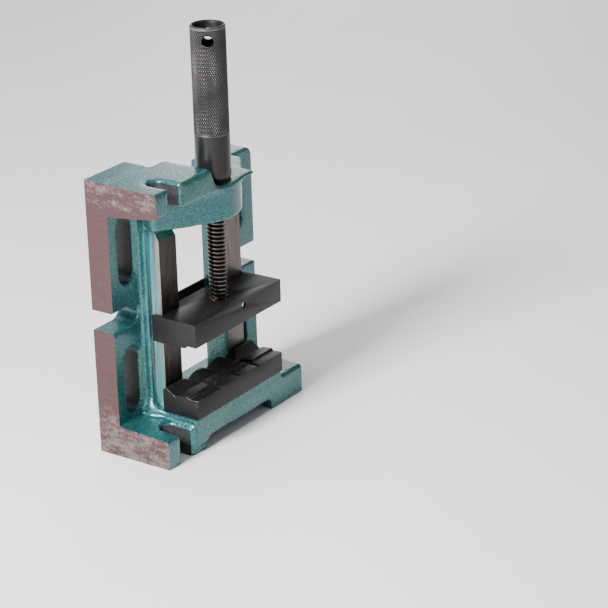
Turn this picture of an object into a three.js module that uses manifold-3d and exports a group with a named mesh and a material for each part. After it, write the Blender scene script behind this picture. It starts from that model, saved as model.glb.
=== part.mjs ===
// Three-way machine vise, 100 mm jaws, standing on its end foot. Millimetres, +Z up.
// Every shape is drawn with X = 0 on the spindle, Y = 0 on the rear base plane and -Y towards the
// operator; the whole group is moved at the end so that the origin is the centre of the footprint.
import * as THREE from 'three';
import { mergeVertices } from 'three/addons/utils/BufferGeometryUtils.js';
import Module from 'manifold-3d';

const wasm = await Module();
wasm.setup();

// ---------------------------------------------------------------- driving dimensions
const GAP = 0.3;                      // running clearance between neighbouring pieces
const STEPS = 32;                     // facets round a bore or shaft

const body = {
  left: 80, right: 84, height: 198, rightTop: 178.5, cornerR: 7, flange: 18, armDepth: 60,
  topArmUnderBack: 175.2, topArmUnderFront: 180.5,
  footArmTopBack: 22.6, footArmTopFront: 20.7, footRight: 78.5,
  platformTop: 25.9, platformHalf: 51, platformFront: 61,
};
const rail = { inner: 27, outer: 46, back: 13, front: 33, chamferZ: 150, chamferTop: 155, chamferDepth: 29.8 };
const rim = { outer: 50, front: 24 };
const yoke = { bottom: 157.5, back: 17.7, nose: 61.9, noseR: 33, flankTurn: 35.8, top: 183 };
const rearHollow = { half: 47, floor: 24, topHalf: 36, topDepth: 20.7 };
const flangeSlot = { x: 62, half: 8.75, length: 49, lowZ: 51, highZ: 146 };
const sideNotch = { z: 98.3, half: 7.3, endX: 60 };
const footSlot = { x: 59.6, half: 8.6, endDepth: 45.4 };
const footHollow = { half: 44, back: 14, front: 54, roof: 13, archHalf: 38, archTop: 9, archR: 6 };
const channel = { top: 21, lip: 19.5, low: 14.5, floor: 12, lipDrop: 3, lowRise: 3.5, back: 16 };

const axisDepth = 47;                 // spindle axis, measured from the rear base plane
const nut = {
  boreR: 10, bodyR: 9.7, spigotR: 9.4, flangeR: 13.4, counterR: 13.8,
  bottom: 158.5, flangeTop: 162.3, counterTop: 164, top: 204, threadR: 6.6,
  grooveR: 8.8, grooveLow: 184.3, grooveHigh: 185.6,
};
const circlip = { r: 11.2, earR: 1.3, earOffset: 2.5, gapHalf: 1.1, play: 0.1 };
const floorWasherR = 12;
const sleeve = {
  r: 12.15, boreR: 9.8, bottom: 186, top: 291.4, lip: 0.8, holeR: 4, holeZ: 282, holeTurn: 55,
  screwZ: 195, screwR: 2, screwTip: 8.1,
};
const spindle = { r: 6.3, bottom: 85.3, top: 218, lowChamfer: 1, chamfer: 1.5 };
const pin = { r: 2, holeR: 2.25, x: 5.8, z: 92.4, front: 63, back: 39 };

const jaw = {
  half: 50, back: 27, front: 63.9, top: 96.5,
  faceZ: 77.9, faceFront: 54, landZ: 79.9, landBack: 55.2,
};
// Side profile of the fixed jaw as (depth, z): front land, small step, V groove, toothed ridge.
const fixedJaw = {
  front: 63.3, bottom: 26.2, screwX: 36, screwDepth: 46,
  topProfile: [[63.3, 40.4], [55.8, 40.4], [54.6, 41.8], [46.2, 40.9], [44, 39.4],
    [36.8, 44], [34.6, 44], [33.3, 42.4]],
};
const crossGroove = { pitch: 21.5, half: 8, depth: 4.3, rootZ: 39.7 };
const keeper = { half: 44, back: 6.5, bossHalf: 26.4, low: 78, high: 89, screwX: 15, screwZ: 83.5 };

const footScrew = {
  headR: 6.5, headH: 7, shankR: 4, keyR: 3.4, bearing: 11, tip: 35.5, holeR: 4.3, holeEnd: 36.5,
};
const footWasher = { r: 6.8, low: 11.2, high: 12.8, castHoleR: 4.4 };
const keeperScrew = {
  headR: 4.25, headH: 5, shankR: 2.5, keyR: 2.3, bearing: 13.4, tip: 41, holeR: 2.8, holeEnd: 42.5,
};
const keeperWasher = { r: 4.5, back: 13.6, front: 14.8, pocketR: 4.8, pocketDepth: 15 };

// ---------------------------------------------------------------- solids
function solid(geometry) {
  let plain = geometry.clone();
  plain.deleteAttribute('normal');
  plain.deleteAttribute('uv');
  plain = mergeVertices(plain, 1e-5);
  return new wasm.Manifold(new wasm.Mesh({
    numProp: 3,
    vertProperties: new Float32Array(plain.attributes.position.array),
    triVerts: new Uint32Array(plain.index.array),
  }));
}

// A box given by its limits; depths are positive towards the operator.
function block(x0, x1, depth0, depth1, z0, z1) {
  const geometry = new THREE.BoxGeometry(x1 - x0, depth1 - depth0, z1 - z0);
  return solid(geometry.translate((x0 + x1) / 2, -(depth0 + depth1) / 2, (z0 + z1) / 2));
}

function shapeOf(points) {
  return new THREE.Shape(points.map(([u, v]) => new THREE.Vector2(u, v)));
}

// Plan outline (x, depth) raised from z0 to z1.
function planPrism(points, z0, z1) {
  const flipped = points.map(([x, depth]) => [x, -depth]);
  const geometry = new THREE.ExtrudeGeometry(shapeOf(flipped), { depth: z1 - z0, bevelEnabled: false });
  return solid(geometry.translate(0, 0, z0));
}

// Front outline (x, z) run from depth0 to depth1; arcs in a Shape keep `segments` facets.
function frontPrism(shape, depth0, depth1, segments = 10) {
  const options = { depth: depth1 - depth0, bevelEnabled: false, curveSegments: segments };
  const geometry = new THREE.ExtrudeGeometry(shape, options);
  return solid(geometry.rotateX(Math.PI / 2).translate(0, -depth0, 0));
}

// Side outline (depth, z) run from x0 to x1.
function sidePrism(points, x0, x1) {
  const geometry = new THREE.ExtrudeGeometry(shapeOf(points), { depth: x1 - x0, bevelEnabled: false });
  geometry.applyMatrix4(new THREE.Matrix4().makeBasis(
    new THREE.Vector3(0, -1, 0), new THREE.Vector3(0, 0, 1), new THREE.Vector3(-1, 0, 0)));
  return solid(geometry.translate(x1, 0, 0));
}

// Round bar along Z from z0 to z1.
function bar(x, depth, r, z0, z1, steps = STEPS) {
  const geometry = new THREE.CylinderGeometry(r, r, z1 - z0, steps);
  return solid(geometry.rotateX(Math.PI / 2).translate(x, -depth, (z0 + z1) / 2));
}

// Round bar along Y from depth0 to depth1.
function crossBar(x, z, r, depth0, depth1, steps = STEPS) {
  const geometry = new THREE.CylinderGeometry(r, r, depth1 - depth0, steps);
  return solid(geometry.translate(x, -(depth0 + depth1) / 2, z));
}

// Turned part about a vertical axis at (0, axisDepth); the profile is (radius, z).
function turned(profile, steps = STEPS) {
  const points = profile.map(([r, z]) => new THREE.Vector2(r, z));
  points.push(points[0].clone());
  const geometry = new THREE.LatheGeometry(points, steps);
  return solid(geometry.rotateX(Math.PI / 2).translate(0, -axisDepth, 0));
}

// An obround standing along Z, as a front outline.
function obround(x, z, half, length) {
  const straight = length / 2 - half;
  const shape = new THREE.Shape();
  shape.absarc(x, z + straight, half, 0, Math.PI, false);
  shape.absarc(x, z - straight, half, Math.PI, 2 * Math.PI, false);
  return shape;
}

function join(...solids) {
  return solids.reduce((whole, piece) => whole.add(piece));
}

function cut(whole, ...tools) {
  return tools.reduce((rest, tool) => rest.subtract(tool), whole);
}

const vise = new THREE.Group();
vise.name = 'machine_vise';

function add(name, shape, color, roughness, metalness) {
  const mesh = shape.getMesh();
  const geometry = new THREE.BufferGeometry();
  geometry.setAttribute('position', new THREE.BufferAttribute(mesh.vertProperties, 3));
  geometry.setIndex(new THREE.BufferAttribute(mesh.triVerts, 1));
  const flat = geometry.toNonIndexed();
  flat.computeVertexNormals();
  const piece = new THREE.Mesh(flat, new THREE.MeshStandardMaterial({ color, roughness, metalness }));
  piece.name = name;
  vise.add(piece);
}

// ---------------------------------------------------------------- body casting
// Curved front of the yoke in plan: straight flanks that run into a round nose.
function yokeOutline() {
  const { nose, noseR } = yoke;
  const centre = nose - noseR;
  const spread = THREE.MathUtils.degToRad(yoke.flankTurn);
  const flankReach = noseR / Math.cos(spread) - rim.outer * Math.tan(spread);
  const points = [[-rim.outer, yoke.back], [-rim.outer, centre + flankReach]];
  const facets = 12;
  for (let i = 0; i <= facets; i += 1) {
    const turn = -spread + 2 * spread * i / facets;
    points.push([noseR * Math.sin(turn), centre + noseR * Math.cos(turn)]);
  }
  points.push([rim.outer, centre + flankReach], [rim.outer, yoke.back]);
  return points.reverse();
}

// The foot runs the full width; the head plate stands left of the handle only.
function endPlates() {
  const foot = [[0, 0], [body.armDepth, 0], [body.armDepth, body.footArmTopFront],
    [body.flange, body.footArmTopBack], [0, body.footArmTopBack]];
  const rightFoot = foot.map(([depth, z]) => [depth === body.armDepth ? body.platformFront : depth, z]);
  const head = [[0, body.topArmUnderBack], [body.flange, body.topArmUnderBack],
    [body.armDepth, body.topArmUnderFront], [body.armDepth, body.height], [0, body.height]];
  const platform = block(-body.platformHalf, body.platformHalf, body.flange,
    body.platformFront, body.footArmTopFront - 5, body.platformTop);
  return join(
    sidePrism(foot, -body.left, 0),
    sidePrism(rightFoot, 0, body.footRight),
    sidePrism(head, -body.left, 0),
    platform);
}

// Side wall with its rim, and the rail whose front edge is chamfered off under the yoke.
function sideWallAndRail(side) {
  const [a, b] = side < 0 ? [-rim.outer, -rail.inner] : [rail.inner, rim.outer];
  const [c, d] = side < 0 ? [-rail.outer, -rail.inner] : [rail.inner, rail.outer];
  const low = body.platformTop - 8;
  const high = body.topArmUnderBack + 2;
  const section = [[rail.back, low], [rail.front, low], [rail.front, rail.chamferZ],
    [rail.chamferDepth, rail.chamferTop], [rail.chamferDepth, high], [rail.back, high]];
  return join(
    block(a, b, rail.back, rim.front, low, high),
    sidePrism(section, c, d));
}

function endSlot(z0, z1) {
  const x = -footSlot.x;
  return join(
    bar(x, footSlot.endDepth, footSlot.half, z0, z1),
    block(x - footSlot.half, x + footSlot.half, footSlot.endDepth, body.platformFront + 2, z0, z1));
}

function flangeCuts(side) {
  const x = side * flangeSlot.x;
  const edge = side * (body.right + 5);
  const [a, b] = side < 0 ? [edge, -sideNotch.endX] : [sideNotch.endX, edge];
  return join(
    frontPrism(obround(x, flangeSlot.lowZ, flangeSlot.half, flangeSlot.length), -2, body.flange + 1),
    frontPrism(obround(x, flangeSlot.highZ, flangeSlot.half, flangeSlot.length), -2, body.flange + 1),
    crossBar(side * sideNotch.endX, sideNotch.z, sideNotch.half, -2, body.flange + 1),
    block(a, b, -2, body.flange + 1, sideNotch.z - sideNotch.half, sideNotch.z + sideNotch.half));
}

// Round-cornered arch through the front skirt of the foot.
function skirtArch() {
  const r = footHollow.archR;
  const shape = new THREE.Shape();
  shape.moveTo(-footHollow.archHalf, -1);
  shape.lineTo(footHollow.archHalf, -1);
  shape.lineTo(footHollow.archHalf, footHollow.archTop - r);
  shape.absarc(footHollow.archHalf - r, footHollow.archTop - r, r, 0, Math.PI / 2, false);
  shape.absarc(-footHollow.archHalf + r, footHollow.archTop - r, r, Math.PI / 2, Math.PI, false);
  return frontPrism(shape, footHollow.front - 1, body.platformFront + 2);
}

// Sloping wall that ends the head plate beside the handle.
function handleChannel() {
  const above = body.height + 1;
  const shape = shapeOf([
    [-channel.top, above], [-channel.lip, body.height - channel.lipDrop],
    [-channel.low, yoke.top + channel.lowRise], [-channel.floor, yoke.top],
    [1, yoke.top], [1, above]]);
  return frontPrism(shape, channel.back, yoke.nose + 2);
}

// Front silhouette: square on the machined left side, lower on the right with rounded corners.
function castSilhouette() {
  const r = body.cornerR;
  const { left, right, height, rightTop } = body;
  const shape = new THREE.Shape();
  shape.moveTo(-left, 0);
  shape.lineTo(right - r, 0);
  shape.absarc(right - r, r, r, -Math.PI / 2, 0, false);
  shape.absarc(right - r, rightTop - r, r, 0, Math.PI / 2, false);
  shape.lineTo(rim.outer, rightTop);
  shape.lineTo(rim.outer, yoke.top);
  shape.lineTo(0, yoke.top);
  shape.lineTo(0, height);
  shape.lineTo(-left, height);
  return frontPrism(shape, 0, yoke.nose + 1, 8);
}

function bodyCasting() {
  const metal = join(
    block(-body.left, body.right, 0, body.flange, 0, body.height),
    endPlates(),
    sideWallAndRail(-1),
    sideWallAndRail(1),
    planPrism(yokeOutline(), yoke.bottom, body.topArmUnderFront + 1),
    planPrism(yokeOutline(), body.topArmUnderFront, yoke.top)).intersect(castSilhouette());
  const through = rail.inner;
  return cut(metal,
    block(-through, through, -2, rail.front + 5, body.platformTop, yoke.bottom),
    block(-rearHollow.half, rearHollow.half, -2, rail.back, rearHollow.floor, yoke.bottom),
    block(-rearHollow.topHalf, rearHollow.topHalf, -2, rearHollow.topDepth, yoke.bottom - 1,
      body.height + 1),
    handleChannel(),
    bar(0, axisDepth, nut.boreR, yoke.bottom - 1, yoke.top + 1),
    bar(0, axisDepth, nut.counterR, yoke.bottom - 1, nut.counterTop),
    block(-footHollow.half, footHollow.half, footHollow.back, footHollow.front, -1, footHollow.roof),
    skirtArch(),
    bar(-fixedJaw.screwX, fixedJaw.screwDepth, footWasher.castHoleR, 10, body.platformTop + 1),
    bar(fixedJaw.screwX, fixedJaw.screwDepth, footWasher.castHoleR, 10, body.platformTop + 1),
    endSlot(-1, body.platformTop + 1),
    endSlot(body.topArmUnderBack - 1, body.height + 1),
    flangeCuts(-1),
    flangeCuts(1));
}

// ---------------------------------------------------------------- jaws
// V grooves along Y across the fixed jaw.
function crossGrooves() {
  const rise = 12;
  const half = crossGroove.half * rise / crossGroove.depth;
  return [-1, 0, 1].map((place) => {
    const x = place * crossGroove.pitch;
    const z = crossGroove.rootZ;
    const outline = [[x, z], [x + half, z + rise], [x - half, z + rise]];
    return frontPrism(shapeOf(outline), rail.front, fixedJaw.front + 2);
  });
}

function fixedJawShape() {
  const { front, bottom, topProfile, screwX, screwDepth } = fixedJaw;
  const profile = [[rail.front + GAP, bottom], [front, bottom], ...topProfile];
  return cut(sidePrism(profile, -jaw.half, jaw.half),
    ...crossGrooves(),
    bar(-screwX, screwDepth, footScrew.holeR, bottom - 1, footScrew.holeEnd),
    bar(screwX, screwDepth, footScrew.holeR, bottom - 1, footScrew.holeEnd));
}

function movingJawShape() {
  const profile = [[jaw.back, jaw.faceZ], [jaw.faceFront, jaw.faceZ], [jaw.landBack, jaw.landZ],
    [jaw.front, jaw.landZ], [jaw.front, jaw.top], [jaw.back, jaw.top]];
  const [a, b] = [rail.inner - GAP, rail.outer + GAP];
  const behind = [jaw.back - 2, rail.front + GAP, jaw.faceZ - 5, jaw.top + 5];
  return cut(sidePrism(profile, -jaw.half, jaw.half),
    block(-b, -a, ...behind),
    block(a, b, ...behind),
    bar(0, axisDepth, spindle.r + GAP, spindle.bottom - GAP, jaw.top + 1),
    crossBar(pin.x, pin.z, pin.holeR, pin.back - GAP, jaw.front + 1, 20),
    crossBar(-keeper.screwX, keeper.screwZ, keeperScrew.holeR, jaw.back - 1, keeperScrew.holeEnd, 20),
    crossBar(keeper.screwX, keeper.screwZ, keeperScrew.holeR, jaw.back - 1, keeperScrew.holeEnd, 20));
}

function keeperShape() {
  const behindRails = rail.back - GAP;
  return cut(
    join(
      block(-keeper.half, keeper.half, keeper.back, behindRails, keeper.low, keeper.high),
      block(-keeper.bossHalf, keeper.bossHalf, behindRails - 1, jaw.back - GAP, keeper.low, keeper.high)),
    ...[-1, 1].flatMap((side) => [
      crossBar(side * keeper.screwX, keeper.screwZ, keeperScrew.holeR, 0, jaw.back + 1, 20),
      crossBar(side * keeper.screwX, keeper.screwZ, keeperWasher.pocketR, 0, keeperWasher.pocketDepth, 24)]));
}

// ---------------------------------------------------------------- fasteners
// Socket head cap screw along Z or Y, as the rod maker has it. The head lies below the bearing
// level, with a hexagon socket in its end, and the shank runs up to the tip.
function capScrew(rodMaker, x, other, size) {
  const { headR, headH, shankR, keyR, bearing, tip } = size;
  return cut(
    join(rodMaker(x, other, headR, bearing - headH, bearing, 24),
      rodMaker(x, other, shankR, bearing - headH / 2, tip, 20)),
    rodMaker(x, other, keyR, bearing - headH * 1.2, bearing - headH * 0.45, 6));
}

function washerZ(x, depth, outer, inner, z0, z1) {
  return cut(bar(x, depth, outer, z0, z1, 24), bar(x, depth, inner, z0 - 1, z1 + 1, 24));
}

function washerY(x, z, outer, inner, depth0, depth1) {
  return cut(crossBar(x, z, outer, depth0, depth1, 24), crossBar(x, z, inner, depth0 - 1, depth1 + 1, 24));
}

// ---------------------------------------------------------------- spindle and handle
function spindleShape() {
  const { r, bottom, top, lowChamfer, chamfer } = spindle;
  return cut(
    turned([[0, bottom], [r - lowChamfer, bottom], [r, bottom + lowChamfer], [r, top - chamfer],
      [r - chamfer, top], [0, top]]),
    crossBar(pin.x, pin.z, pin.holeR, axisDepth - 12, axisDepth + 12, 20));
}

function nutShape() {
  return cut(
    turned([[nut.threadR, nut.bottom], [nut.flangeR, nut.bottom], [nut.flangeR, nut.flangeTop],
      [nut.bodyR, nut.flangeTop], [nut.bodyR, nut.grooveLow], [nut.grooveR, nut.grooveLow],
      [nut.grooveR, nut.grooveHigh], [nut.spigotR, nut.grooveHigh], [nut.spigotR, nut.top],
      [nut.threadR, nut.top]]),
    crossBar(0, sleeve.screwZ, sleeve.screwR + GAP, axisDepth - 12, axisDepth - sleeve.screwTip + GAP, 20));
}

function sleeveShape() {
  const { r, boreR, bottom, top, lip } = sleeve;
  const tube = turned([[boreR, bottom], [r - lip, bottom], [r, bottom + lip], [r, top - lip],
    [r - lip, top], [boreR + lip, top], [boreR, top - lip]], 48);
  const screwEnd = axisDepth - sleeve.screwTip + GAP;
  const turnedHole = solid(new THREE.CylinderGeometry(sleeve.holeR, sleeve.holeR, 4 * r, 24)
    .rotateZ(-THREE.MathUtils.degToRad(sleeve.holeTurn))
    .translate(0, -axisDepth, sleeve.holeZ));
  return cut(tube, turnedHole,
    crossBar(0, sleeve.screwZ, sleeve.screwR + GAP, axisDepth - r - 2, screwEnd, 20));
}

// Spring ring with two ears, open towards +X.
function circlipShape() {
  const [z0, z1] = [nut.grooveLow + circlip.play, nut.grooveHigh - circlip.play];
  const ear = (side) => bar(circlip.r, axisDepth + side * circlip.earOffset, circlip.earR, z0, z1, 16);
  return cut(join(bar(0, axisDepth, circlip.r, z0, z1), ear(-1), ear(1)),
    bar(0, axisDepth, nut.grooveR + 0.2, z0 - 1, z1 + 1),
    block(0, circlip.r + 5, axisDepth - circlip.gapHalf, axisDepth + circlip.gapHalf, z0 - 1, z1 + 1));
}

// ---------------------------------------------------------------- assembly
const teal = 0x2f6f70;
const black = 0x1d1e20;
const steel = 0x6b6765;
const bright = 0x8d8d8b;
const bronze = 0xa9853f;

add('body_casting', bodyCasting(), teal, 0.45, 0.3);
add('fixed_jaw', fixedJawShape(), black, 0.45, 0.8);
add('moving_jaw', movingJawShape(), black, 0.45, 0.8);
add('keeper_plate', keeperShape(), black, 0.5, 0.8);
add('spindle', spindleShape(), steel, 0.35, 1);
add('spindle_pin', crossBar(pin.x, pin.z, pin.r, pin.back, pin.front, 20), bright, 0.3, 1);

for (const [side, label] of [[-1, 'left'], [1, 'right']]) {
  const footX = side * fixedJaw.screwX;
  const keeperX = side * keeper.screwX;
  add(`fixed_jaw_washer_${label}`,
    washerZ(footX, fixedJaw.screwDepth, footWasher.r, footScrew.holeR, footWasher.low, footWasher.high),
    bright, 0.4, 1);
  add(`fixed_jaw_screw_${label}`, capScrew(bar, footX, fixedJaw.screwDepth, footScrew), black, 0.4, 1);
  add(`keeper_washer_${label}`,
    washerY(keeperX, keeper.screwZ, keeperWasher.r, keeperScrew.holeR, keeperWasher.back,
      keeperWasher.front),
    bright, 0.4, 1);
  add(`keeper_screw_${label}`, capScrew(crossBar, keeperX, keeper.screwZ, keeperScrew), black, 0.4, 1);
}

add('nut_thrust_washer', cut(
  bar(0, axisDepth, nut.flangeR, nut.flangeTop + 0.2, nut.counterTop - 0.2),
  bar(0, axisDepth, nut.boreR, nut.flangeTop - 1, nut.counterTop + 1)), bronze, 0.4, 1);
add('spindle_nut', nutShape(), steel, 0.4, 1);
add('floor_washer', cut(
  bar(0, axisDepth, floorWasherR, yoke.top + circlip.play, nut.grooveLow - circlip.play),
  bar(0, axisDepth, nut.boreR, yoke.top - 1, nut.grooveLow + 1)), black, 0.4, 1);
add('nut_circlip', circlipShape(), black, 0.4, 1);
add('handle_sleeve', sleeveShape(), black, 0.5, 0.8);
add('sleeve_grub_screw',
  crossBar(0, sleeve.screwZ, sleeve.screwR, axisDepth - sleeve.r + 0.2, axisDepth - sleeve.screwTip,
    20), black, 0.4, 1);

vise.position.set((body.left - body.right) / 2, jaw.front / 2, 0);

export default vise;
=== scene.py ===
"""Studio picture of a three-way machine vise standing on its end foot.

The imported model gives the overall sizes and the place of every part. The casting's inner sizes are
named below. It is sculpted as a distance field, meshed, and then machined with sharp cutters, as the
real one is. Shapes are drawn in millimetres with x = 0 on the spindle and y = -depth, where depth is
measured from the rear base plane towards the operator.
"""
import math

import bmesh
import bpy
import numpy as np
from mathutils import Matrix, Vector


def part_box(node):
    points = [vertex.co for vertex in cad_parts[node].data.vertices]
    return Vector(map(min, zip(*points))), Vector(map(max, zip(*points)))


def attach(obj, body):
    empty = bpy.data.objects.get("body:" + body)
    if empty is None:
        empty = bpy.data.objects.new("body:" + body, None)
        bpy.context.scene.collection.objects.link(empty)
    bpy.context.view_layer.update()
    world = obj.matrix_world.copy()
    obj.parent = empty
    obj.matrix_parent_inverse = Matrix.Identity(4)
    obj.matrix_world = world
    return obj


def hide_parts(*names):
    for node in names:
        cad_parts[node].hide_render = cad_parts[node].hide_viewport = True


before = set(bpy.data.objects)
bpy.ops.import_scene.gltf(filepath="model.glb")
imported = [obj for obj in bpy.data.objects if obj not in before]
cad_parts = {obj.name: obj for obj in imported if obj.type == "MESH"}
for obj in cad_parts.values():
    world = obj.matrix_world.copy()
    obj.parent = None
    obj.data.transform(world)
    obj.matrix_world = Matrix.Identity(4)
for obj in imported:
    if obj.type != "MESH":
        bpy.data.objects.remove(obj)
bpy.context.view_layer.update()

import openvdb
from mathutils import Matrix, Vector

MM = 0.001


def corners(node):
    """Lowest and highest corner of a CAD node, in millimetres."""
    low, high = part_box(node)
    return np.array(low) / MM, np.array(high) / MM


CASTING = corners("body_casting")
SLEEVE = corners("handle_sleeve")
SPINDLE = corners("spindle")
JAW = corners("moving_jaw")

BACK = CASTING[1][1]                      # the rear base plane
AXIS_X, AXIS_Y = (SPINDLE[0] + SPINDLE[1])[:2] / 2
AXIS_DEPTH = BACK - AXIS_Y
ORIGIN = np.array([AXIS_X, BACK, 0.0])    # where the modelling functions have their origin
LEFT = CASTING[0][0] - AXIS_X             # the machined side face
RIGHT = CASTING[1][0] - AXIS_X            # the right-hand side, left as cast
HEIGHT = CASTING[1][2]

# Sizes that the casting's functions share, in the modelling frame.
STOCK = 4.0                               # metal left on the faces that are machined later
CAST_EDGE = 2.0                           # radius on the outer cast edges
FLANGE = 18                               # thickness of the rear flange
RIGHT_TOP = 178.5                         # the right-hand flange ends below the head plate
RAIL_INNER, RAIL_OUTER, RAIL_FRONT = 27.0, 46.0, 33.0
CHAMFER_Z = 150.0                         # where the chamfer of the rails' front edge starts
RAIL_HEAD_FRONT = 29.8                    # the rails' front above that chamfer
BAND_HALF = 50.2                          # outside of the band that rims the jaw bay
RELIEF_DEPTH = 24.6                       # floor of the milled relief beside each rail
PLATFORM_CAST, PLATFORM_MILLED = 26.3, 25.9
YOKE_BOTTOM, YOKE_TOP = 157.5, 183.0
NOSE_RADIUS, NOSE_DEPTH, FLANK_TURN = 33.0, 28.9, math.radians(35.8)
HOLLOW_HALF, RAIL_BACK = 46.8, 12.8       # the open hollow behind the rails
FLANGE_SLOT_X, FLANGE_SLOT_HALF, FLANGE_SLOT_MIDDLES = 62, 7.7, (51, 146)
FLANGE_SLOT_REACH = 23.7                  # from a flange slot's middle to its round end
NOTCH_X, NOTCH_Z, NOTCH_HALF = 60.0, 98.3, 7.3
END_SLOT_X, END_SLOT_DEPTH, END_SLOT_HALF = -60.0, 44.9, 6.2


# ---------------------------------------------------------------- shader building blocks
class Shader:
    """A material's node tree, with short calls for the nodes that the finishes share."""

    def __init__(self, name):
        self.material = bpy.data.materials.new(name)
        self.material.use_nodes = True
        self.tree = self.material.node_tree
        self.bsdf = self.tree.nodes["Principled BSDF"]
        self.place = self.tree.nodes.new("ShaderNodeTexCoord").outputs["Object"]

    def link(self, output, target):
        self.tree.links.new(output, target)

    def put(self, name, value):
        """Sets a Principled socket to a plain value or links an output to it."""
        if isinstance(value, bpy.types.NodeSocket):
            self.link(value, self.bsdf.inputs[name])
        else:
            self.bsdf.inputs[name].default_value = value

    def stretched(self, scale):
        node = self.tree.nodes.new("ShaderNodeMapping")
        node.inputs["Scale"].default_value = scale
        self.link(self.place, node.inputs["Vector"])
        return node.outputs["Vector"]

    def noise(self, scale, detail=2.0, rough=0.5, where=None, distortion=0.0):
        node = self.tree.nodes.new("ShaderNodeTexNoise")
        node.inputs["Scale"].default_value = scale
        node.inputs["Detail"].default_value = detail
        node.inputs["Roughness"].default_value = rough
        node.inputs["Distortion"].default_value = distortion
        self.link(where or self.place, node.inputs["Vector"])
        return node.outputs["Fac"]

    def cells(self, scale):
        """Distance to the nearest of many scattered points, rounded where two cells meet."""
        node = self.tree.nodes.new("ShaderNodeTexVoronoi")
        node.feature = "SMOOTH_F1"
        node.inputs["Scale"].default_value = scale
        self.link(self.place, node.inputs["Vector"])
        return node.outputs["Distance"]

    def math(self, kind, a, b=0.0):
        node = self.tree.nodes.new("ShaderNodeMath")
        node.operation = kind
        for socket, value in zip(node.inputs, (a, b)):
            if isinstance(value, bpy.types.NodeSocket):
                self.link(value, socket)
            else:
                socket.default_value = value
        return node.outputs["Value"]

    def ramp(self, value, low, high, to_low=0.0, to_high=1.0):
        """Maps low..high smoothly to to_low..to_high, clamped at both ends."""
        node = self.tree.nodes.new("ShaderNodeMapRange")
        node.interpolation_type = "SMOOTHSTEP"
        self.link(value, node.inputs["Value"])
        for name, number in (("From Min", low), ("From Max", high), ("To Min", to_low), ("To Max", to_high)):
            node.inputs[name].default_value = number
        return node.outputs["Result"]

    def mix(self, factor, a, b):
        """Colour a where factor is 0 and b where it is 1."""
        node = self.tree.nodes.new("ShaderNodeMix")
        node.data_type = "RGBA"
        self.link(factor, node.inputs["Factor"])
        for socket, value in ((node.inputs[6], a), (node.inputs[7], b)):
            if isinstance(value, bpy.types.NodeSocket):
                self.link(value, socket)
            else:
                socket.default_value = (*value, 1.0)
        return node.outputs[2]

    def bump(self, height, distance, strength=1.0, under=None):
        node = self.tree.nodes.new("ShaderNodeBump")
        node.inputs["Distance"].default_value = distance
        node.inputs["Strength"].default_value = strength
        self.link(height, node.inputs["Height"])
        if under is not None:
            self.link(under, node.inputs["Normal"])
        return node.outputs["Normal"]

    def axis(self, name):
        node = self.tree.nodes.new("ShaderNodeSeparateXYZ")
        self.link(self.place, node.inputs["Vector"])
        return node.outputs[name]

    def spindle_radius(self):
        """Distance from the spindle's axis, in metres."""
        x = self.math("SUBTRACT", self.axis("X"), AXIS_X * MM)
        y = self.math("SUBTRACT", self.axis("Y"), AXIS_Y * MM)
        return self.math("SQRT", self.math("ADD", self.math("MULTIPLY", x, x), self.math("MULTIPLY", y, y)))


def hammered_paint():
    """Metallic teal enamel whose dimples flowed together as it dried."""
    s = Shader("hammered_teal_enamel")
    dimples = s.cells(820)
    ripple = s.noise(420, 2, 0.5)
    grain = s.noise(1700, 2, 0.6)
    broad = s.noise(26, 3, 0.55)
    tone = s.mix(s.ramp(dimples, 0.12, 0.6), (0.029, 0.156, 0.163), (0.009, 0.070, 0.076))
    tone = s.mix(s.ramp(broad, 0.35, 0.75, 0.0, 0.30), tone, (0.028, 0.138, 0.145))
    tone = s.mix(s.ramp(grain, 0.60, 0.80, 0.0, 0.35), tone, (0.13, 0.34, 0.35))
    s.put("Base Color", tone)
    s.put("Metallic", 0.50)
    s.put("Roughness", s.ramp(ripple, 0.3, 0.7, 0.27, 0.42))
    s.put("Coat Weight", 0.35)
    s.put("Coat Roughness", 0.22)
    height = s.math("ADD", s.math("MULTIPLY", dimples, 0.6), s.math("MULTIPLY", ripple, 0.9))
    s.put("Normal", s.bump(grain, 0.00010, 0.35, s.bump(height, 0.00055, 0.55)))
    return s.material


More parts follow.
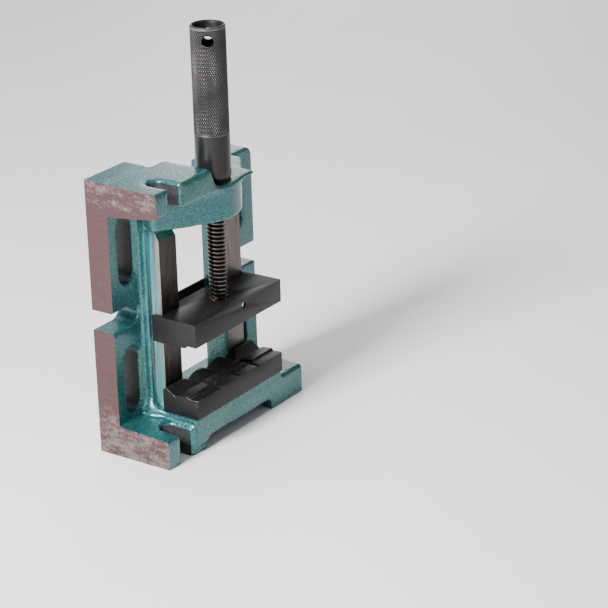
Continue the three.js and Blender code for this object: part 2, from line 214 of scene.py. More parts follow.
def machined_side():
    """The side face: ground, then varnished dark red, and rubbed thin again towards both ends."""
    s = Shader("varnished_ground_face")
    streaks = s.noise(60, 5, 0.65, s.stretched((1, 1.2, 22)))
    fine = s.noise(160, 3, 0.6, s.stretched((1, 1, 30)))
    worn = s.noise(110, 8, 0.70, s.stretched((1, 0.7, 1.7)))
    scuffs = s.noise(520, 3, 0.7)
    steep = s.noise(34, 2, 0.5, s.stretched((1, 7, 1.6)), 0.6)
    level = s.noise(46, 2, 0.5, s.stretched((1, 1.5, 8)), 0.6)
    varnish = s.mix(s.ramp(streaks, 0.35, 0.7), (0.042, 0.016, 0.017), (0.066, 0.031, 0.031))
    bare = s.mix(s.ramp(fine, 0.3, 0.7), (0.095, 0.070, 0.068), (0.155, 0.130, 0.127))
    z = s.axis("Z")
    ends = s.math("MAXIMUM", s.ramp(z, 0.012, 0.056, 0.10, -0.12), s.ramp(z, 0.172, 0.192, -0.12, 0.06))
    grit = s.math("MULTIPLY", s.math("SUBTRACT", scuffs, 0.5), 0.5)
    rubbed = s.math("ADD", s.math("ADD", worn, ends), grit)
    tone = s.mix(s.ramp(rubbed, 0.53, 0.68, 0.0, 0.9), varnish, bare)
    for lines in (steep, level):
        hair = s.ramp(s.math("ABSOLUTE", s.math("SUBTRACT", lines, 0.5)), 0.0, 0.006, 1.0, 0.0)
        seen = s.math("MULTIPLY", hair, s.ramp(rubbed, 0.44, 0.58, 0.0, 0.75))
        tone = s.mix(seen, tone, (0.23, 0.20, 0.197))
    s.put("Base Color", tone)
    s.put("Metallic", 0.30)
    s.put("Roughness", s.ramp(streaks, 0.3, 0.7, 0.40, 0.58))
    s.put("Normal", s.bump(fine, 0.00004, 0.5))
    return s.material


def shaded_slot_wall():
    """Inside of the slots: painted shade, a near-black colour that stands for the shadow in the slots, over
    a rough wall.
    """
    s = Shader("painted_shade_slot_wall")
    rough = s.noise(300, 4, 0.6)
    # Painted shade: the slot walls are coloured near black for the shadow inside the slots.
    s.put("Base Color", s.mix(s.ramp(rough, 0.35, 0.7), (0.016, 0.018, 0.020), (0.034, 0.034, 0.036)))
    s.put("Metallic", 0.2)
    s.put("Roughness", 0.55)
    s.put("Normal", s.bump(rough, 0.00012, 0.6))
    return s.material


def steel_base():
    """The two bases that the vise stands or lies on: ground iron."""
    return steel("ground_iron_base", (0.20, 0.19, 0.185), (0.34, 0.325, 0.315), 0.4)


def machined_rail():
    """Front guide faces: milled, oily and dark, with the left-hand rail painted darker than the right as a
    painted reflection of its dark surroundings.
    """
    s = Shader("milled_guide_face")
    across = s.noise(120, 4, 0.6, s.stretched((1, 1, 16)))
    along = s.noise(90, 4, 0.6, s.stretched((14, 14, 0.6)))
    blotch = s.noise(40, 5, 0.6)
    dark = s.mix(s.ramp(along, 0.35, 0.65), (0.020, 0.017, 0.016), (0.050, 0.042, 0.040))
    pale = s.mix(s.ramp(along, 0.35, 0.65), (0.090, 0.072, 0.066), (0.150, 0.125, 0.115))
    # Painted reflection: left of the spindle the rail face takes the dark shades, right of it the pale ones,
    # for the dark and bright surroundings that each rail reflects.
    tone = s.mix(s.ramp(s.axis("X"), -0.005, 0.005), dark, pale)
    tone = s.mix(s.ramp(blotch, 0.55, 0.70, 0.0, 0.35), tone, (0.15, 0.13, 0.12))
    s.put("Base Color", tone)
    s.put("Metallic", 0.75)
    s.put("Roughness", s.ramp(across, 0.3, 0.7, 0.30, 0.46))
    s.put("Normal", s.bump(across, 0.00003, 0.5, s.bump(along, 0.00003, 0.4)))
    return s.material


def relieved_side():
    """Outer rail flanks: long streaks of bare iron and teal along the travel, partly paint rubbed through to
    the iron and partly a painted reflection of the teal casting beside the flank.
    """
    s = Shader("streaked_rail_flank")
    wide = s.noise(260, 3, 0.55, s.stretched((1, 2.4, 0.04)))
    thin = s.noise(640, 3, 0.6, s.stretched((1, 2.6, 0.04)))
    fade = s.noise(30, 4, 0.6)
    # The pale grey and teal streaks are partly real wear and partly painted reflection of the casting beside
    # the flank.
    iron = s.mix(s.ramp(thin, 0.35, 0.65), (0.115, 0.090, 0.084), (0.36, 0.33, 0.32))
    paint = s.mix(s.ramp(thin, 0.3, 0.7), (0.05, 0.20, 0.21), (0.11, 0.36, 0.37))
    mask = s.ramp(s.math("ADD", wide, s.math("MULTIPLY", s.math("SUBTRACT", fade, 0.5), 0.2)), 0.50, 0.54)
    s.put("Base Color", s.mix(mask, iron, paint))
    s.put("Metallic", 0.6)
    s.put("Roughness", s.ramp(thin, 0.3, 0.7, 0.30, 0.45))
    s.put("Normal", s.bump(thin, 0.00003, 0.4))
    return s.material


def black_oxide(name, roughness):
    """Blackened steel, ground along X, with a little dust."""
    s = Shader(name)
    lay = s.noise(260, 4, 0.6, s.stretched((1.2, 18, 18)))
    cloud = s.noise(30, 4, 0.6)
    dust = s.noise(900, 1, 0.5)
    tone = s.mix(s.ramp(cloud, 0.3, 0.75), (0.0085, 0.0080, 0.0090), (0.0135, 0.0125, 0.0140))
    tone = s.mix(s.ramp(dust, 0.74, 0.80, 0.0, 0.5), tone, (0.12, 0.11, 0.11))
    s.put("Base Color", tone)
    s.put("Metallic", 0.35)
    s.put("Roughness", s.ramp(cloud, 0.3, 0.7, roughness - 0.01, roughness + 0.03))
    s.put("Specular IOR Level", 0.26)
    s.put("Normal", s.bump(lay, 0.000004, 0.5))
    return s.material


def knurled_black():
    """Black oxide that is rubbed paler on the points of the knurl."""
    s = Shader("black_oxide_handle")
    radius = s.spindle_radius()
    outer = (SLEEVE[1][0] - SLEEVE[0][0]) / 2
    point = s.ramp(radius, (outer - 0.22) * MM, (outer - 0.03) * MM)
    low = (SLEEVE[0][2] + 30.0) * MM
    in_knurl = s.math("MULTIPLY", point, s.ramp(s.axis("Z"), low, low + 0.001))
    cloud = s.noise(60, 4, 0.6)
    rubbed = s.math("MULTIPLY", in_knurl, s.ramp(cloud, 0.3, 0.65, 0.35, 1.0))
    tone = s.mix(s.ramp(cloud, 0.3, 0.75), (0.0105, 0.0100, 0.0105), (0.019, 0.0175, 0.0185))
    s.put("Base Color", s.mix(rubbed, tone, (0.155, 0.145, 0.145)))
    s.put("Metallic", 0.45)
    s.put("Roughness", s.ramp(cloud, 0.3, 0.7, 0.30, 0.38))
    s.put("Normal", s.bump(s.noise(700, 3, 0.6), 0.00002, 0.4))
    return s.material


def worn_edge():
    """Edges of the black blocks, rubbed bright in patches."""
    s = Shader("rubbed_edge")
    patch = s.noise(180, 4, 0.6)
    s.put("Base Color", s.mix(s.ramp(patch, 0.42, 0.66), (0.016, 0.015, 0.016), (0.16, 0.15, 0.148)))
    s.put("Metallic", 0.8)
    s.put("Roughness", 0.36)
    return s.material


def steel(name, dark, bright, roughness):
    """Bare metal between two shades, with fine marks level with the floor."""
    s = Shader(name)
    fine = s.noise(500, 3, 0.6, s.stretched((1, 1, 6)))
    s.put("Base Color", s.mix(s.ramp(fine, 0.3, 0.7), dark, bright))
    s.put("Metallic", 1.0)
    s.put("Roughness", s.ramp(fine, 0.3, 0.7, roughness - 0.06, roughness + 0.08))
    s.put("Normal", s.bump(fine, 0.00002, 0.4))
    return s.material


def thread_steel():
    """Glossy crests over roots coloured dark as painted shade in the grooves, with a thin copper-brown ring
    where it enters the jaw.
    """
    s = Shader("thread_with_painted_root_shade")
    radius = s.spindle_radius()
    outer = (SPINDLE[1][0] - SPINDLE[0][0]) / 2
    crest = s.ramp(radius, (outer - 0.8) * MM, (outer - 0.1) * MM)
    wear = s.noise(240, 4, 0.6)
    # Painted shade: the thread's roots are coloured far darker than its crests.
    tone = s.mix(crest, (0.018, 0.015, 0.014), (0.080, 0.072, 0.068))
    tone = s.mix(s.ramp(wear, 0.5, 0.75, 0.0, 0.6), tone, (0.085, 0.060, 0.050))
    band = s.ramp(s.axis("Z"), (JAW[1][2] + 0.5) * MM, (JAW[1][2] + 1.0) * MM, 1.0, 0.0)
    s.put("Base Color", s.mix(band, tone, (0.24, 0.13, 0.085)))
    s.put("Metallic", 1.0)
    s.put("Roughness", s.ramp(wear, 0.3, 0.7, 0.14, 0.28))
    return s.material


# ---------------------------------------------------------------- mesh helpers
def piece(name, points, faces, materials):
    """A new object from points of the modelling frame."""
    mesh = bpy.data.meshes.new(name)
    placed = (np.asarray(points) + ORIGIN) * MM
    mesh.from_pydata([tuple(p) for p in placed], [], [tuple(f) for f in faces])
    mesh.update()
    for material in materials:
        mesh.materials.append(material)
    obj = bpy.data.objects.new(name, mesh)
    bpy.context.scene.collection.objects.link(obj)
    return obj


def bake_modifiers(obj):
    """Puts the object's modifiers into its mesh."""
    graph = bpy.context.evaluated_depsgraph_get()
    mesh = bpy.data.meshes.new_from_object(obj.evaluated_get(graph))
    old = obj.data
    obj.modifiers.clear()
    obj.data = mesh
    bpy.data.meshes.remove(old)


def shade(obj, degrees=32):
    obj.data.shade_smooth()
    obj.data.set_sharp_from_angle(angle=math.radians(degrees))


def carve(obj, cutter, mode="DIFFERENCE"):
    """Cuts or joins the object with a closed cutter, whose faces keep the cutter's material."""
    modifier = obj.modifiers.new("carve", "BOOLEAN")
    modifier.operation = mode
    modifier.object = cutter
    modifier.solver = "MANIFOLD"
    modifier.material_mode = "TRANSFER"
    bake_modifiers(obj)
    mesh = cutter.data
    bpy.data.objects.remove(cutter)
    bpy.data.meshes.remove(mesh)


def block_cutter(material, x0, x1, depth0, depth1, z0, z1, cell=6.0):
    """A closed box whose faces are split into cells, so that each cut face stays a small polygon."""
    limits = np.array([(x0, -depth1, z0), (x1, -depth0, z1)])
    points = [(x, y, z) for z in limits[:, 2] for x, y in
              ((x0, -depth1), (x1, -depth1), (x1, -depth0), (x0, -depth0))]
    faces = [(3, 2, 1, 0), (4, 5, 6, 7), (0, 1, 5, 4), (1, 2, 6, 5), (2, 3, 7, 6), (3, 0, 4, 7)]
    obj = piece("cutter", points, faces, [material])
    split(obj, limits, cell)
    return obj


def split(obj, limits, cell):
    """Cuts an object's faces along the planes of a regular grid."""
    work = bmesh.new()
    work.from_mesh(obj.data)
    for axis in range(3):
        low, high = limits[0][axis], limits[1][axis]
        for place in np.arange(low + cell, high - 0.3 * cell, cell):
            point, normal = Vector((0, 0, 0)), Vector((0, 0, 0))
            point[axis], normal[axis] = (place + ORIGIN[axis]) * MM, 1.0
            geometry = work.verts[:] + work.edges[:] + work.faces[:]
            bmesh.ops.bisect_plane(work, geom=geometry, plane_co=point, plane_no=normal)
    work.to_mesh(obj.data)
    work.free()


def side_cutter(material, profile, x0, x1, cell=6.0):
    """A closed prism along X from an outline of (depth, z) points that runs anticlockwise."""
    count = len(profile)
    points = [(x, -depth, z) for x in (x0, x1) for depth, z in profile]
    faces = [tuple(range(count)), tuple(reversed(range(count, 2 * count)))]
    faces += [(i, i + count, (i + 1) % count + count, (i + 1) % count) for i in range(count)]
    obj = piece("cutter", points, faces, [material])
    work = bmesh.new()
    work.from_mesh(obj.data)
    bmesh.ops.recalc_face_normals(work, faces=work.faces)
    work.to_mesh(obj.data)
    work.free()
    depths, heights = zip(*profile)
    split(obj, [(x0, -max(depths), min(heights)), (x1, -min(depths), max(heights))], cell)
    return obj


def round_cutter(material, start, end, radius_start, radius_end=None, steps=64):
    """A closed round bar or cone between two points."""
    start, end = Vector(start), Vector(end)
    radius_end = radius_start if radius_end is None else radius_end
    turn = (end - start).to_track_quat("Z", "Y").to_matrix()
    points = []
    for centre, radius in ((start, radius_start), (end, radius_end)):
        for i in range(steps):
            angle = 2 * math.pi * i / steps
            points.append(centre + turn @ Vector((radius * math.cos(angle), radius * math.sin(angle), 0)))
    faces = [(i, (i + 1) % steps, steps + (i + 1) % steps, steps + i) for i in range(steps)]
    faces += [tuple(reversed(range(steps))), tuple(range(steps, 2 * steps))]
    return piece("cutter", points, faces, [material])


def refined(node, body, material, width, edge=None):
    """A CAD node's shape with its facets merged and its edges broken, standing for that node."""
    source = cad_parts[node]
    mesh = source.data.copy()
    mesh.materials.clear()
    obj = bpy.data.objects.new(node + "_finished", mesh)
    bpy.context.scene.collection.objects.link(obj)
    for finish in (material, edge or material):
        mesh.materials.append(finish)
    for polygon in mesh.polygons:
        polygon.material_index = 0
    work = bmesh.new()
    work.from_mesh(mesh)
    bmesh.ops.remove_doubles(work, verts=work.verts, dist=2e-6)
    bmesh.ops.dissolve_limit(work, angle_limit=math.radians(1.0), verts=work.verts, edges=work.edges)
    work.to_mesh(mesh)
    work.free()
    bevel = obj.modifiers.new("broken_edges", "BEVEL")
    bevel.width = width * MM
    bevel.segments = 2
    bevel.limit_method = "ANGLE"
    bevel.angle_limit = math.radians(28)
    bevel.material = 1
    bevel.harden_normals = False
    bake_modifiers(obj)
    shade(obj)
    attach(obj, body)
    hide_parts(node)
    return obj


def keeper(material, edge):
    """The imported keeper, with an upright lip added that shows behind the moving jaw."""
    obj = refined("keeper_plate", "jaw_carriage", material, 0.6, edge)
    half, back, front, low, high = 43.9, 10.8, 12.65, 80, 93.7
    lip = block_cutter(material, -half, half, back, front, low, high, cell=200.0)
    bevel = lip.modifiers.new("broken_edges", "BEVEL")
    bevel.width = 0.4 * MM
    bake_modifiers(lip)
    carve(obj, lip, "UNION")
    shade(obj)


# ---------------------------------------------------------------- distance fields for the casting
class Field:
    """Signed distances on a regular grid, in millimetres; negative inside."""
    step = 0.8
    low = np.array([LEFT - 8.0, -8.0, -8.0])
    high = np.array([RIGHT + 3.0, 67.0, HEIGHT + 3.0])
    count = np.ceil((high - low) / step).astype(int) + 1
    x = (low[0] + step * np.arange(count[0], dtype=np.float32))[:, None, None]
    d = (low[1] + step * np.arange(count[1], dtype=np.float32))[None, :, None]
    z = (low[2] + step * np.arange(count[2], dtype=np.float32))[None, None, :]
    side = np.abs(x)


def box_field(x, x0, x1, d0, d1, z0, z1, r=0.0):
    gaps = [np.abs(value - (a + b) / 2) - ((b - a) / 2 - r)
            for value, a, b in ((x, x0, x1), (Field.d, d0, d1), (Field.z, z0, z1))]
    outside = np.sqrt(sum(np.maximum(gap, 0) ** 2 for gap in gaps))
    inside = np.minimum(np.maximum(np.maximum(gaps[0], gaps[1]), gaps[2]), 0)
    return outside + inside - r


def fuse(a, b, r=0.0):
    """Union with a fillet of radius r in the corner between the two."""
    if r <= 0:
        return np.minimum(a, b)
    u, v = np.maximum(r - a, 0), np.maximum(r - b, 0)
    return np.maximum(r, np.minimum(a, b)) - np.sqrt(u * u + v * v)


def overlap(a, b, r=0.0):
    return -fuse(-a, -b, r)


def remove(a, b, r=0.0):
    """Takes b out of a, rounding the new edges to radius r."""
    return overlap(a, -b, r)


def plane_field(terms, offset):
    """Signed distance to a plane through its normal's terms: value pairs of (array, factor)."""
    length = math.sqrt(sum(factor * factor for _, factor in terms))
    return sum(array * (factor / length) for array, factor in terms) - offset / length


def plate_field(x0, x1, z0, z1, corner, d0, d1, edge):
    """A plate that faces the operator, with rounded corners and softened edges."""
    u = np.abs(Field.x - (x0 + x1) / 2) - ((x1 - x0) / 2 - corner)
    v = np.abs(Field.z - (z0 + z1) / 2) - ((z1 - z0) / 2 - corner)
    outline = np.sqrt(np.maximum(u, 0) ** 2 + np.maximum(v, 0) ** 2)
    outline += np.minimum(np.maximum(u, v), 0) - corner
    return overlap(outline, np.abs(Field.d - (d0 + d1) / 2) - (d1 - d0) / 2, edge)


def slot_field(x, x_centre, half, z0, z1):
    """An obround that runs through along the depth, standing between z0 and z1."""
    nearest = np.clip(Field.z, z0 + half, z1 - half)
    return np.sqrt((x - x_centre) ** 2 + (Field.z - nearest) ** 2) - half


def open_slot_field(x, x_centre, half, end_depth):
    """A slot through a plate along Z, round at end_depth and open to the front."""
    nearest = np.maximum(Field.d, end_depth)
    return np.sqrt((x - x_centre) ** 2 + (Field.d - nearest) ** 2) - half


def end_plates():
    """Foot across the full width, and the head plate on the left."""
    x, d, z = Field.x, Field.d, Field.z
    left = LEFT - STOCK
    # Over 42 mm of arm the head's underside rises 5.3 mm and the foot's top falls 1.9 mm.
    head = box_field(x, left, 30, -STOCK, 60, 150, HEIGHT, CAST_EDGE)
    under = plane_field([(z, -1.0), (d, 5.3 / 42)], -175.2 + FLANGE * 5.3 / 42)
    head = overlap(head, under, CAST_EDGE)
    slope = plane_field([(z, 1.0), (d, 1.9 / 42)], 22.6 + FLANGE * 1.9 / 42)
    left_foot = overlap(box_field(x, left, 10, -STOCK, 60, -STOCK, 40, CAST_EDGE), slope, CAST_EDGE)
    right_foot = overlap(box_field(x, -10, 78.5, -STOCK, 61.4, -STOCK, 40, 3.0), slope, 3.0)
    return head, fuse(left_foot, right_foot, 1.0)


def yoke_field():
    """Straight flanks that run into a round nose."""
    x, d, side = Field.x, Field.d, Field.side
    out, ahead = math.sin(FLANK_TURN), math.cos(FLANK_TURN)
    flank = plane_field([(side, out), (d, ahead)], NOSE_RADIUS + NOSE_DEPTH * ahead)
    nose = np.sqrt(x ** 2 + (d - NOSE_DEPTH) ** 2) - NOSE_RADIUS
    # Ahead of the tangent point the nose rules, outside it the flank.
    front = np.where(side * ahead < (d - NOSE_DEPTH) * out, nose, flank)
    return overlap(front, box_field(side, -50.6, 50.6, 12, 70, YOKE_BOTTOM, YOKE_TOP, 1.6), 2.0)


def rails_field():
    """Both rails with stock to mill off, their front edge chamfered just under the yoke."""
    d, z, side = Field.d, Field.z, Field.side
    inner, outer, front = RAIL_INNER - 1.0, RAIL_OUTER + 1.4, RAIL_FRONT + 1.4
    chamfer = plane_field([(d, 5.0), (z, 3.2)], RAIL_FRONT * 5.0 + CHAMFER_Z * 3.2)
    rails = overlap(box_field(side, inner, outer, 9, front, 15, 170, 0.8), chamfer, 0.8)
    return fuse(rails, box_field(side, inner, outer, 9, RAIL_HEAD_FRONT, 140, 170, 0.8), 1.5)


def cast_outside():
    """Flanges, end plates, the band that rims the jaw bay, the yoke and the rails."""
    side = Field.side
    flange = fuse(plate_field(LEFT - STOCK, 20, -STOCK, HEIGHT, 1.0, -STOCK, FLANGE, CAST_EDGE),
                  plate_field(-20, RIGHT, -0.3, RIGHT_TOP, 7.0, -STOCK, FLANGE, CAST_EDGE))
    head, foot = end_plates()
    metal = fuse(fuse(flange, head, 1.6), foot, 1.6)
    # The band runs up the side, round a large curve and along the platform.
    band = box_field(side, 30, BAND_HALF, 8, 24.2, 8, 178, 1.5)
    platform = box_field(side, -50.9, 50.9, 8, 61.4, 6, PLATFORM_CAST, 1.4)
    metal = fuse(metal, fuse(band, platform, 12.0), 2.5)
    metal = fuse(metal, yoke_field(), 3.5)
    return fuse(metal, rails_field(), 0.8)


def without_bay_and_hollows(metal):
    """Opens the jaw bay, the hollows behind it, and the room beside the handle."""
    x, z, side = Field.x, Field.z, Field.side
    bay = box_field(side, -RAIL_INNER, RAIL_INNER, -20, 90, PLATFORM_CAST, YOKE_BOTTOM, 1.2)
    low_hollow = box_field(side, -HOLLOW_HALF, HOLLOW_HALF, -20, RAIL_BACK, 24, YOKE_BOTTOM, 2.0)
    high_hollow = box_field(side, -36, 36, -20, 20.7, YOKE_BOTTOM, 230, 3.0)
    for opening in (bay, low_hollow, high_hollow):
        metal = remove(metal, opening, 1.4)
    beside_handle = overlap(plane_field([(x, -1.0), (z, -0.42)], 14.6 - 0.42 * 186.5),
                            box_field(x, -40, 120, 12, 90, YOKE_TOP, 240, 0.0), 5.0)
    return remove(metal, beside_handle, 2.4)


def without_slots(metal):
    """Cuts the four flange slots, the two side notches and the two open end slots."""
    x, z, side = Field.x, Field.z, Field.side
    for middle in FLANGE_SLOT_MIDDLES:
        z0, z1 = middle - FLANGE_SLOT_REACH, middle + FLANGE_SLOT_REACH
        through = overlap(slot_field(side, FLANGE_SLOT_X, FLANGE_SLOT_HALF, z0, z1),
                          box_field(side, 40, 84, -20, 30, z0 - 3, z1 + 3))
        metal = remove(metal, through, 3.0)
    notch = np.sqrt((side - np.maximum(side, NOTCH_X)) ** 2 + (z - NOTCH_Z) ** 2) - NOTCH_HALF
    metal = remove(metal, overlap(notch, box_field(side, 45, 120, -20, 60, 80, 117)), 1.5)
    return remove(metal, open_slot_field(x, END_SLOT_X, END_SLOT_HALF, END_SLOT_DEPTH), 2.6)


def casting_field():
    """The casting as it leaves the mould, with its cored foot and the arch through its skirt."""
    metal = without_slots(without_bay_and_hollows(cast_outside()))
    core = box_field(Field.side, -44, 44, 14, 54, -30, 13, 2.5)
    arch = box_field(Field.side, -38, 38, 40, 90, -30, 9, 6.0)
    return remove(metal, fuse(core, arch), 1.2)


def meshed(field, adaptivity=0.015):
    """Surface of the field in the modelling frame."""
    reach = 3 * Field.step
    grid = openvdb.FloatGrid(background=reach)
    grid.copyFromArray(np.clip(field, -reach, reach).astype(np.float32))
    points, triangles, quads = grid.convertToPolygons(0.0, adaptivity)
    points = Field.low + points * Field.step
    points[:, 1] *= -1
    faces = [tuple(f) for f in triangles] + [tuple(f) for f in quads]
    return points, faces


def obround_cutter(material, x, z, half, length, steps=24):
    """A closed obround bar along the depth, standing upright, right through the flange."""
    straight = length / 2 - half
    outline = []
    for sign, start in ((1, 0.0), (-1, math.pi)):
        for i in range(steps + 1):
            angle = start + math.pi * i / steps
            outline.append((x + half * math.cos(angle), z + sign * straight + half * math.sin(angle)))
    count = len(outline)
    points = [(u, y, w) for y in (-30, 10) for u, w in outline]
    faces = [tuple(range(count)), tuple(reversed(range(count, 2 * count)))]
    faces += [(i + count, (i + 1) % count + count, (i + 1) % count, i) for i in range(count)]
    return piece("cutter", points, faces, [material])


def rail_side_outline():
    """Side view of the milled relief beside a rail: a large corner low down, a small one at the top."""
    quarter = np.radians(np.arange(0, 91, 9))
    bottom, top, large, small = 26.2, YOKE_BOTTOM - 0.2, 12.5, 6.0
    low = [(RELIEF_DEPTH + large - large * math.cos(a), bottom + large - large * math.sin(a))
           for a in quarter]
    high = [(RELIEF_DEPTH + small - small * math.sin(a), top - small + small * math.cos(a))
            for a in quarter]
    return low + [(70, bottom), (70, top)] + high


def casting(paint, side_face, rail_face, flank_face, base_face, shaded_slot_face):
    """The finished casting: cast surface in paint, each machined face in its own finish."""
    points, faces = meshed(casting_field())
    obj = piece("casting", points, faces, [paint])

    def milled(material, *limits):
        carve(obj, block_cutter(material, *limits))

    # The three bases: left side, back and foot.
    milled(side_face, LEFT - 40, LEFT, -40, 120, -40, HEIGHT + 40)
    milled(base_face, -120, 120, -40, 0, -40, HEIGHT + 40)
    milled(base_face, -120, 120, -40, 120, -40, 0)
    # Guide faces of the rails, the relief beside them, the flange slots and the rails' inner faces.
    for hand in (-1, 1):
        milled(rail_face, *sorted((hand * 25, hand * 46.6)), RAIL_FRONT, 45, 27.5, CHAMFER_Z - 0.4)
        relief = sorted((hand * RAIL_OUTER, hand * 52.5))
        carve(obj, side_cutter(flank_face, rail_side_outline(), *relief))
        for middle in FLANGE_SLOT_MIDDLES:
            # The flange slot walls take the near-black finish that paints their shade.
            carve(obj, obround_cutter(shaded_slot_face, hand * FLANGE_SLOT_X, middle,
                                      FLANGE_SLOT_HALF + 0.1, 2 * FLANGE_SLOT_REACH + 0.2))
        milled(side_face, *sorted((hand * 20, hand * RAIL_INNER)), 13.4, 22, 28, 156)
    # The seat of the fixed jaw, and the keeper's path behind the rails.
    milled(rail_face, -49.6, 49.6, RAIL_FRONT, 70, PLATFORM_MILLED, 40)
    milled(rail_face, -46.6, 46.6, -5, 13, 26, 157)
    # Clean walls of the two end slots, in the near-black slot finish that is painted shade.
    half = END_SLOT_HALF + 0.1
    for z0, z1 in ((-5, 32), (165, HEIGHT + 5)):
        end = [(END_SLOT_X, -END_SLOT_DEPTH, z) for z in (z0, z1)]
        carve(obj, round_cutter(shaded_slot_face, *end, half))
        milled(shaded_slot_face, END_SLOT_X - half, END_SLOT_X + half, END_SLOT_DEPTH, 75, z0, z1)
    # Bore of the nut, its counterbore, and the two screw holes of the fixed jaw.
    for radius, z0, z1 in ((10.0, 140, 190), (13.8, 140, 164)):
        carve(obj, round_cutter(rail_face, (0, -AXIS_DEPTH, z0), (0, -AXIS_DEPTH, z1), radius))
    for x in (-36, 36):
        carve(obj, round_cutter(rail_face, (x, -46, 8), (x, -46, 30), 4.4))
    shade(obj, 38)
    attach(obj, "vise_body")
    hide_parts("body_casting")


# ---------------------------------------------------------------- handle and spindle
def lathe_grid(rows, steps):
    """Points of a closed ring of rows; each row gives radius and height for every angle."""
    angle = 2 * np.pi * np.arange(steps) / steps
    points = []
    for radius, height in rows:
        ring = np.column_stack([radius * np.cos(angle), radius * np.sin(angle) - AXIS_DEPTH,
                                np.broadcast_to(height, angle.shape)])
        points.append(ring)
    count = len(rows)
    faces = [(r * steps + i, r * steps + (i + 1) % steps,
              (r + 1) % count * steps + (i + 1) % steps, (r + 1) % count * steps + i)
             for r in range(count) for i in range(steps)]
    return np.vstack(points), faces


def handle(material):
    """Hollow handle with a diamond knurl, a plain lower end and a cross hole."""
    outer = (SLEEVE[1][0] - SLEEVE[0][0]) / 2
    bore, bottom, top = 9.8, SLEEVE[0][2], SLEEVE[1][2]
    knurl_low, knurl_high, depth, starts = bottom + 30.5, top - 1.6, 0.50, 48
    per_cell = 7
    steps = starts * per_cell
    cell_height = 2 * math.pi * outer / starts / math.tan(math.radians(30))
    turn = np.arange(steps) / per_cell

    def knurled(z):
        climb = (z - knurl_low) / cell_height
        ridges = [np.abs(2 * np.mod(turn + sign * climb, 1.0) - 1) for sign in (1, -1)]
        height = np.minimum(1.0, 1.25 * np.minimum(*ridges))
        fade = min(1.0, (z - knurl_low) / 1.2, (knurl_high - z) / 0.5)
        return outer - depth * max(fade, 0.0) * (1 - height)

    rows = [(bore, bottom), (outer - 0.8, bottom), (outer - 0.2, bottom + 0.25), (outer, bottom + 0.8)]
    rows += [(outer, z) for z in np.linspace(bottom + 4, knurl_low - 0.4, 5)]
    count = int((knurl_high - knurl_low) / cell_height * 6)
    rows += [(knurled(z), z) for z in np.linspace(knurl_low, knurl_high, count)]
    rows += [(outer - 0.05, top - 1.2), (outer - 0.1, top - 0.6), (outer - 0.7, top), (bore + 1.1, top),
             (bore + 0.2, top - 0.8), (bore, top - 1.6), (bore, bottom + 40)]
    points, faces = lathe_grid(rows, steps)
    obj = piece("handle_knurled", points, faces, [material])
    # Cross hole for the tommy bar, broken at both mouths.
    aim, hole_z, hole_radius = math.radians(55), 282, 4.0
    out = Vector((-math.sin(aim), -math.cos(aim), 0))
    centre = Vector((0, -AXIS_DEPTH, hole_z))
    carve(obj, round_cutter(material, centre - out * 20, centre + out * 20, hole_radius))
    for way in (-1, 1):
        carve(obj, round_cutter(material, centre + out * way * (outer - 1.1),
                                centre + out * way * (outer + 0.9), hole_radius - 0.1, hole_radius + 2))
    shade(obj, 30)
    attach(obj, "handle")
    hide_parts("handle_sleeve")


def threaded_spindle(material):
    """Left-hand trapezoidal thread, meshed along its own helix."""
    crest = (SPINDLE[1][0] - SPINDLE[0][0]) / 2
    root, pitch = crest - 1.35, 3.0
    low, high = SPINDLE[0][2], SPINDLE[1][2]
    profile = [(0.00, root), (0.10, root), (0.24, root + 0.55), (0.38, crest - 0.16), (0.43, crest),
               (0.68, crest), (0.73, crest - 0.16), (0.86, root + 0.55)]
    steps = 64
    turns = int((high - low) / pitch) + 3
    per = len(profile)
    columns = []
    for i in range(steps + 1):
        angle = -2 * math.pi * i / steps
        heights = np.array([low + pitch * (k - 1.5 + i / steps + share)
                            for k in range(turns) for share, _ in profile])
        radii = np.array([r for _ in range(turns) for _, r in profile])
        near_end = np.minimum(heights - low, high - heights)
        radii = np.minimum(radii, crest - 1.5 + np.clip(near_end, 0, 1.5))
        heights = np.clip(heights, low, high)
        columns.append(np.column_stack([radii * math.cos(angle), radii * math.sin(angle) - AXIS_DEPTH,
                                        heights]))
    rows = turns * per
    # The last column is the first one, one pitch further along the thread.
    points = np.vstack(columns[:steps])
    faces = []
    for i in range(steps):
        for j in range(rows - 1):
            a, b = i * rows + j, i * rows + j + 1
            if i + 1 < steps:
                c, e = (i + 1) * rows + j + 1, (i + 1) * rows + j
            elif j + 1 + per < rows:
                c, e = j + 1 + per, j + per
            else:
                continue
            faces.append((a, b, c, e))
    obj = piece("spindle_threaded", points, faces, [material])
    work = bmesh.new()
    work.from_mesh(obj.data)
    bmesh.ops.remove_doubles(work, verts=work.verts, dist=1e-6)
    bmesh.ops.dissolve_degenerate(work, edges=work.edges, dist=1e-6)
    bmesh.ops.delete(work, geom=[f for f in work.faces if f.calc_area() < 1e-12], context="FACES_ONLY")
    rim = [e for e in work.edges if len(e.link_faces) == 1]
    bmesh.ops.holes_fill(work, edges=rim, sides=0)
    bmesh.ops.recalc_face_normals(work, faces=work.faces)
    work.to_mesh(obj.data)
    work.free()
    shade(obj, 40)
    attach(obj, "jaw_carriage")
    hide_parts("spindle")


# ---------------------------------------------------------------- studio
def floor():
    """A plain pale floor."""
    half = 3000.0
    corner_points = [(-half, -half, 0), (half, -half, 0), (half, half, 0), (-half, half, 0)]
    obj = piece("studio_floor", corner_points, [(0, 1, 2, 3)], [])
    s = Shader("pale_floor")
    s.put("Base Color", s.mix(s.ramp(s.noise(3, 2), 0.3, 0.7), (0.86, 0.86, 0.855), (0.89, 0.89, 0.885)))
    s.put("Roughness", 0.55)
    obj.data.materials.append(s.material)


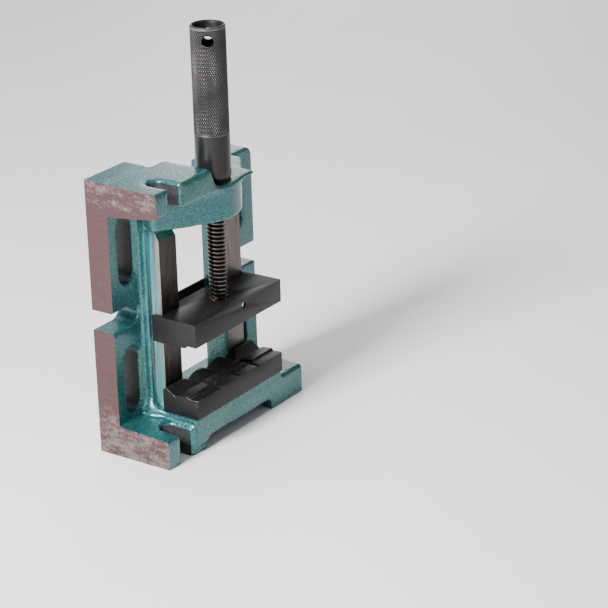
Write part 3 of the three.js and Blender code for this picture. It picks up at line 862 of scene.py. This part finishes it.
def area_light(name, place, target, size, watts, colour=(1, 1, 1)):
    """A rectangular softbox aimed at a point."""
    light = bpy.data.lights.new(name, "AREA")
    light.shape = "RECTANGLE"
    light.size, light.size_y = size
    light.energy = watts
    light.color = colour
    obj = bpy.data.objects.new(name, light)
    obj.location = place
    obj.rotation_euler = (Vector(target) - Vector(place)).to_track_quat("-Z", "Y").to_euler()
    bpy.context.scene.collection.objects.link(obj)


def studio():
    """One strong softbox on the left and weak light from everywhere else."""
    floor()
    centre = (0, 0, 0.13)
    area_light("left_softbox", (-1.45, 0.1, 1.05), centre, (0.5, 0.5), 100, (1.0, 0.985, 0.96))
    area_light("front_fill", (0.3, -1.7, 0.6), centre, (1.2, 0.8), 1.5)
    area_light("top_panel", (0.0, 0.4, 1.5), centre, (1.0, 1.0), 12)
    area_light("right_rim", (1.4, 0.8, 0.6), centre, (0.6, 0.9), 5)
    world = bpy.data.worlds.new("studio")
    world.use_nodes = True
    background = world.node_tree.nodes["Background"]
    background.inputs["Color"].default_value = (0.95, 0.97, 1.0, 1.0)
    background.inputs["Strength"].default_value = 0.34
    bpy.context.scene.world = world


def camera():
    """A long lens from the front left that looks down at the vise."""
    azimuth, elevation, roll = math.radians(54.991), math.radians(22.129), math.radians(1.577)
    back = Vector((-math.sin(azimuth) * math.cos(elevation), -math.cos(azimuth) * math.cos(elevation),
                   math.sin(elevation)))
    data = bpy.data.cameras.new("view")
    data.sensor_width = 36.0
    data.lens = 136.7
    data.clip_end = 20
    obj = bpy.data.objects.new("view", data)
    turn = back.to_track_quat("Z", "Y").to_matrix() @ Matrix.Rotation(-roll, 3, "Z")
    obj.matrix_world = Matrix.Translation((-1.1828, -0.91385, 0.6928)) @ turn.to_4x4()
    bpy.context.scene.collection.objects.link(obj)
    bpy.context.scene.camera = obj


# ---------------------------------------------------------------- assembly
def build():
    """Makes every finish and every piece."""
    black = black_oxide("black_oxide_block", 0.44)
    edge = worn_edge()
    bright = steel("bright_ground_steel", (0.40, 0.40, 0.395), (0.62, 0.62, 0.61), 0.3)
    dark = steel("dark_turned_steel", (0.14, 0.13, 0.125), (0.27, 0.255, 0.25), 0.36)
    bronze = steel("turned_bronze", (0.40, 0.26, 0.11), (0.60, 0.42, 0.20), 0.34)
    casting(hammered_paint(), machined_side(), machined_rail(), relieved_side(), steel_base(), shaded_slot_wall())
    refined("fixed_jaw", "vise_body", black, 0.35, edge)
    refined("moving_jaw", "jaw_carriage", black, 0.4, edge)
    keeper(black, edge)
    for side in ("left", "right"):
        refined(f"fixed_jaw_screw_{side}", "vise_body", black, 0.25)
        refined(f"fixed_jaw_washer_{side}", "vise_body", bright, 0.2)
        refined(f"keeper_screw_{side}", "jaw_carriage", black, 0.2)
        refined(f"keeper_washer_{side}", "jaw_carriage", bright, 0.15)
    refined("spindle_pin", "jaw_carriage", bright, 0.4)
    refined("nut_thrust_washer", "vise_body", bronze, 0.2)
    refined("floor_washer", "vise_body", black, 0.15)
    refined("nut_circlip", "handle", black, 0.15)
    refined("spindle_nut", "handle", dark, 0.25)
    refined("sleeve_grub_screw", "handle", black, 0.2)
    handle(knurled_black())
    threaded_spindle(thread_steel())


build()
studio()
camera()
